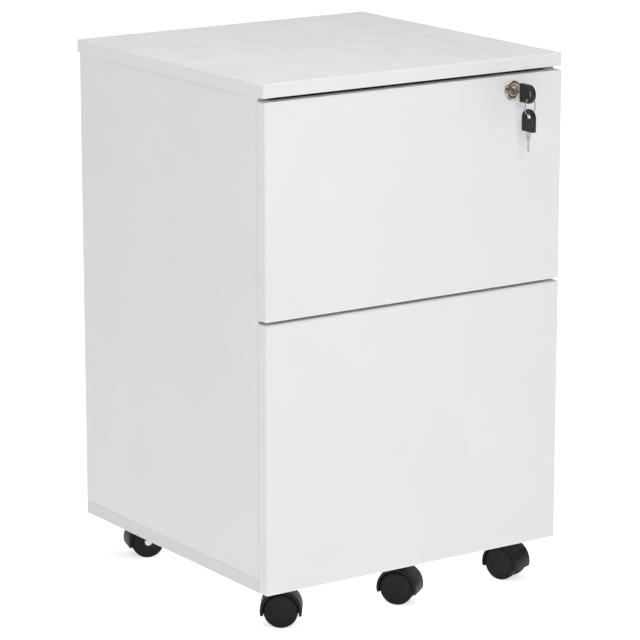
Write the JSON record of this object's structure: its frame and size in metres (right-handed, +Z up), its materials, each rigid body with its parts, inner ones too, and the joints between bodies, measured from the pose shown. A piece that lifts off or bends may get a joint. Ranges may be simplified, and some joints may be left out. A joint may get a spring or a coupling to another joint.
{
  "type": "rolling pedestal cabinet",
  "caption": "White handleless under-desk file pedestal: shallow drawer over a deep file drawer in a board carcass, with drawer lock and keys, on hooded twin-wheel casters.",
  "frame": {"origin": "on the floor, in the middle of the whole footprint, from the outer edge of the hanging key to the back edge of the top", "axes": "+Z up; the drawer fronts face -Y; +X is to the right of someone who faces the drawers"},
  "size_m": [0.4016, 0.4346, 0.618],
  "materials": {
    "white_melamine": "white satin melamine on particle board, with matching edge band",
    "drawer_melamine": "white melamine drawer board",
    "hardboard": "white-faced thin hardboard",
    "zinc_steel": "bright zinc-plated pressed steel",
    "zinc_casting": "zinc die casting",
    "screw_steel": "zinc-plated screw steel",
    "lock_nickel": "satin nickel plate",
    "key_steel": "nickel-plated brass key blank",
    "key_plastic": "black moulded plastic",
    "caster_plastic": "black moulded nylon",
    "wheel_plastic": "black moulded nylon wheel",
    "caster_plate_steel": "black-coated pressed steel",
    "axle_steel": "bright riveted steel pin",
    "rail_plastic": "white extruded plastic"
  },
  "bodies": {
    "carcass": {"top_panel": "white_melamine", "left_side_panel": "white_melamine", "right_side_panel": "white_melamine", "base_panel": "white_melamine", "back_panel": "white_melamine", "mid_rail": "white_melamine", "cam_locks": "zinc_casting", "lock_strike": "zinc_steel", "slide_cabinet_members": "zinc_steel", "slide_screws": "screw_steel", "caster_plates": "caster_plate_steel", "caster_screws": "screw_steel"},
    "upper_drawer": {"upper_front": "white_melamine", "upper_drawer_left_side": "drawer_melamine", "upper_drawer_right_side": "drawer_melamine", "upper_drawer_back": "drawer_melamine", "upper_drawer_bottom": "hardboard", "upper_drawer_cam_locks": "zinc_casting", "upper_slide_drawer_members": "zinc_steel", "upper_drawer_screws": "screw_steel", "lock_housing": "zinc_casting", "lock_rosette": "lock_nickel"},
    "upper_slide_middles": {"upper_slide_middle_members": "zinc_steel"},
    "lower_drawer": {"lower_front": "white_melamine", "lower_drawer_left_side": "drawer_melamine", "lower_drawer_right_side": "drawer_melamine", "lower_drawer_back": "drawer_melamine", "lower_drawer_bottom": "hardboard", "lower_drawer_cam_locks": "zinc_casting", "lower_slide_drawer_members": "zinc_steel", "lower_drawer_screws": "screw_steel", "file_rails": "rail_plastic"},
    "lower_slide_middles": {"lower_slide_middle_members": "zinc_steel"},
    "lock_core": {"lock_plug": "lock_nickel"},
    "bolt": {"lock_bolt": "zinc_casting"},
    "key": {"key_blade": "key_steel", "key_head": "key_plastic"},
    "ring": {"key_ring": "key_steel"},
    "spare_key": {"spare_key_blade": "key_steel", "spare_key_head": "key_plastic"},
    "front_left_swivel": {"caster_front_left_hood": "caster_plastic", "caster_front_left_axle": "axle_steel"},
    "front_left_left_wheel": {"caster_front_left_left_wheel": "wheel_plastic"},
    "front_left_right_wheel": {"caster_front_left_right_wheel": "wheel_plastic"},
    "front_middle_swivel": {"caster_front_middle_hood": "caster_plastic", "caster_front_middle_axle": "axle_steel"},
    "front_middle_left_wheel": {"caster_front_middle_left_wheel": "wheel_plastic"},
    "front_middle_right_wheel": {"caster_front_middle_right_wheel": "wheel_plastic"},
    "front_right_swivel": {"caster_front_right_hood": "caster_plastic", "caster_front_right_axle": "axle_steel"},
    "front_right_left_wheel": {"caster_front_right_left_wheel": "wheel_plastic"},
    "front_right_right_wheel": {"caster_front_right_right_wheel": "wheel_plastic"},
    "back_left_swivel": {"caster_back_left_hood": "caster_plastic", "caster_back_left_axle": "axle_steel"},
    "back_left_left_wheel": {"caster_back_left_left_wheel": "wheel_plastic"},
    "back_left_right_wheel": {"caster_back_left_right_wheel": "wheel_plastic"},
    "back_right_swivel": {"caster_back_right_hood": "caster_plastic", "caster_back_right_axle": "axle_steel"},
    "back_right_left_wheel": {"caster_back_right_left_wheel": "wheel_plastic"},
    "back_right_right_wheel": {"caster_back_right_right_wheel": "wheel_plastic"}
  },
  "joints": [
    {"name": "upper_drawer_slide", "type": "slide", "parent": "carcass", "child": "upper_drawer", "axis": [0, -1, 0], "range_m": [0, 0.35]},
    {"name": "upper_middles_slide", "type": "slide", "parent": "carcass", "child": "upper_slide_middles", "axis": [0, -1, 0], "range_m": [0, 0.175]},
    {"name": "lower_drawer_slide", "type": "slide", "parent": "carcass", "child": "lower_drawer", "axis": [0, -1, 0], "range_m": [0, 0.35]},
    {"name": "lower_middles_slide", "type": "slide", "parent": "carcass", "child": "lower_slide_middles", "axis": [0, -1, 0], "range_m": [0, 0.175]},
    {"name": "lock_turn", "type": "hinge", "parent": "upper_drawer", "child": "lock_core", "pos_m": [0.1303, -0.1767, 0.5812], "axis": [0, 1, 0], "range_deg": [0, 180]},
    {"name": "bolt_throw", "type": "slide", "parent": "upper_drawer", "child": "bolt", "axis": [0, 0, 1], "range_m": [0, 0.009]},
    {"name": "key_pull", "type": "slide", "parent": "lock_core", "child": "key", "axis": [0, -1, 0], "range_m": [0, 0.03]},
    {"name": "ring_swing", "type": "hinge", "parent": "key", "child": "ring", "pos_m": [0.1303, -0.2085, 0.5775], "axis": [0.9511, 0.309, 0], "range_deg": [-60, 12]},
    {"name": "spare_key_swing", "type": "hinge", "parent": "ring", "child": "spare_key", "pos_m": [0.1303, -0.2085, 0.5575], "axis": [0.9511, 0.309, 0], "range_deg": [-30, 12]},
    {"name": "front_left_caster_swivel", "type": "hinge", "parent": "carcass", "child": "front_left_swivel", "pos_m": [-0.164, -0.1331, 0.046], "axis": [0, 0, 1], "continuous": true},
    {"name": "front_left_left_wheel_spin", "type": "hinge", "parent": "front_left_swivel", "child": "front_left_left_wheel", "pos_m": [-0.15591, -0.13898, 0.0195], "axis": [0.5878, 0.809, 0], "continuous": true},
    {"name": "front_left_right_wheel_spin", "type": "hinge", "parent": "front_left_swivel", "child": "front_left_right_wheel", "pos_m": [-0.15591, -0.13898, 0.0195], "axis": [0.5878, 0.809, 0], "continuous": true},
    {"name": "front_middle_caster_swivel", "type": "hinge", "parent": "carcass", "child": "front_middle_swivel", "pos_m": [-0.0055, -0.1395, 0.046], "axis": [0, 0, 1], "continuous": true},
    {"name": "front_middle_left_wheel_spin", "type": "hinge", "parent": "front_middle_swivel", "child": "front_middle_left_wheel", "pos_m": [0.00052, -0.14749, 0.0195], "axis": [0.7986, 0.6018, 0], "continuous": true},
    {"name": "front_middle_right_wheel_spin", "type": "hinge", "parent": "front_middle_swivel", "child": "front_middle_right_wheel", "pos_m": [0.00052, -0.14749, 0.0195], "axis": [0.7986, 0.6018, 0], "continuous": true},
    {"name": "front_right_caster_swivel", "type": "hinge", "parent": "carcass", "child": "front_right_swivel", "pos_m": [0.1523, -0.1331, 0.046], "axis": [0, 0, 1], "continuous": true},
    {"name": "front_right_left_wheel_spin", "type": "hinge", "parent": "front_right_swivel", "child": "front_right_left_wheel", "pos_m": [0.15605, -0.14237, 0.0195], "axis": [0.9272, 0.3746, 0], "continuous": true},
    {"name": "front_right_right_wheel_spin", "type": "hinge", "parent": "front_right_swivel", "child": "front_right_right_wheel", "pos_m": [0.15605, -0.14237, 0.0195], "axis": [0.9272, 0.3746, 0], "continuous": true},
    {"name": "back_left_caster_swivel", "type": "hinge", "parent": "carcass", "child": "back_left_swivel", "pos_m": [-0.156, 0.1711, 0.046], "axis": [0, 0, 1], "continuous": true},
    {"name": "back_left_left_wheel_spin", "type": "hinge", "parent": "back_left_swivel", "child": "back_left_left_wheel", "pos_m": [-0.14649, 0.16801, 0.0195], "axis": [0.309, 0.9511, 0], "continuous": true},
    {"name": "back_left_right_wheel_spin", "type": "hinge", "parent": "back_left_swivel", "child": "back_left_right_wheel", "pos_m": [-0.14649, 0.16801, 0.0195], "axis": [0.309, 0.9511, 0], "continuous": true},
    {"name": "back_right_caster_swivel", "type": "hinge", "parent": "carcass", "child": "back_right_swivel", "pos_m": [0.1523, 0.1711, 0.046], "axis": [0, 0, 1], "continuous": true},
    {"name": "back_right_left_wheel_spin", "type": "hinge", "parent": "back_right_swivel", "child": "back_right_left_wheel", "pos_m": [0.15996, 0.16467, 0.0195], "axis": [0.6428, 0.766, 0], "continuous": true},
    {"name": "back_right_right_wheel_spin", "type": "hinge", "parent": "back_right_swivel", "child": "back_right_right_wheel", "pos_m": [0.15996, 0.16467, 0.0195], "axis": [0.6428, 0.766, 0], "continuous": true}
  ],
  "couplings": [
    {"joint": "upper_middles_slide", "follows": "upper_drawer_slide", "ratio": 0.5},
    {"joint": "lower_middles_slide", "follows": "lower_drawer_slide", "ratio": 0.5},
    {"joint": "lock_turn", "follows": "bolt_throw", "rad_per_m": 349.07}
  ]
}
